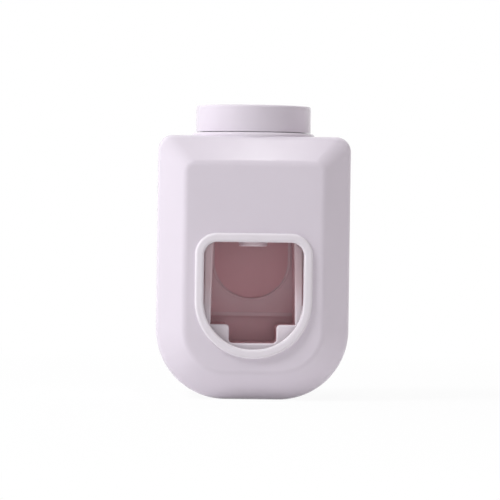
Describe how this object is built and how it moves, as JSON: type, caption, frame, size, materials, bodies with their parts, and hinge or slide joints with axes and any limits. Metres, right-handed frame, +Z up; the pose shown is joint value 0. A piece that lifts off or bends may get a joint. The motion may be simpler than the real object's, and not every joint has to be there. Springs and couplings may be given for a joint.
{
  "type": "toothpaste dispenser",
  "caption": "Wall-hung toothpaste dispenser: bevelled casing with a capped tube socket on top, a round-bottomed brush window, and a push lever that works a bellows pump.",
  "frame": {"origin": "under the middle of the part, on the surface that its flat base stands on", "axes": "+X to the right seen from the front, +Y from the front face to the wall, +Z up"},
  "size_m": [0.078, 0.0656, 0.1192],
  "materials": {
    "casing_plastic": "glossy",
    "trim_plastic": "glossy",
    "guide_plastic": "satin",
    "mauve_plastic": "satin",
    "nozzle_plastic": "satin",
    "inner_plastic": "matt",
    "silicone": "matt",
    "foam_adhesive": "matt",
    "screw_steel": "zinc plated",
    "pin_steel": "ground",
    "spring_steel": "drawn wire"
  },
  "bodies": {
    "housing": {"front_shell": "casing_plastic", "window_bezel": "trim_plastic", "brush_guide": "guide_plastic", "brush_tunnel": "mauve_plastic", "guide_screws": "screw_steel", "tube_socket": "inner_plastic", "tube_seal": "silicone", "inlet_duct": "inner_plastic", "inlet_valve": "silicone", "pump_body": "inner_plastic", "pump_screws": "screw_steel", "outlet_valve": "silicone", "nozzle": "nozzle_plastic", "bellows": "silicone", "pump_frame": "inner_plastic", "frame_screws": "screw_steel", "hinge_pin": "pin_steel", "pin_clip": "spring_steel", "back_cover": "casing_plastic", "cover_screws": "screw_steel", "return_spring": "spring_steel"},
    "push_lever": {"push_lever": "inner_plastic", "push_plate": "mauve_plastic", "plate_screws": "screw_steel", "lever_bushes": "inner_plastic", "press_pad": "silicone"},
    "cap": {"dust_cap": "casing_plastic", "cap_liner": "silicone"},
    "wall_plate": {"wall_plate": "inner_plastic", "adhesive_pad": "foam_adhesive"}
  },
  "joints": [
    {"name": "lever_swing", "type": "hinge", "parent": "housing", "child": "push_lever", "pos_m": [0, 0.00934, 0.069], "axis": [1, 0, 0], "range_deg": [0, 18], "stiffness_Nm_per_rad": 0.5, "springref_deg": -11.46, "deforming": ["bellows", "return_spring"]},
    {"name": "cap_lift", "type": "slide", "parent": "housing", "child": "cap", "axis": [0, 0, 1], "range_m": [0, 0.06]},
    {"name": "plate_unhook", "type": "slide", "parent": "housing", "child": "wall_plate", "axis": [0, 0, -1], "range_m": [0, 0.0052]}
  ]
}
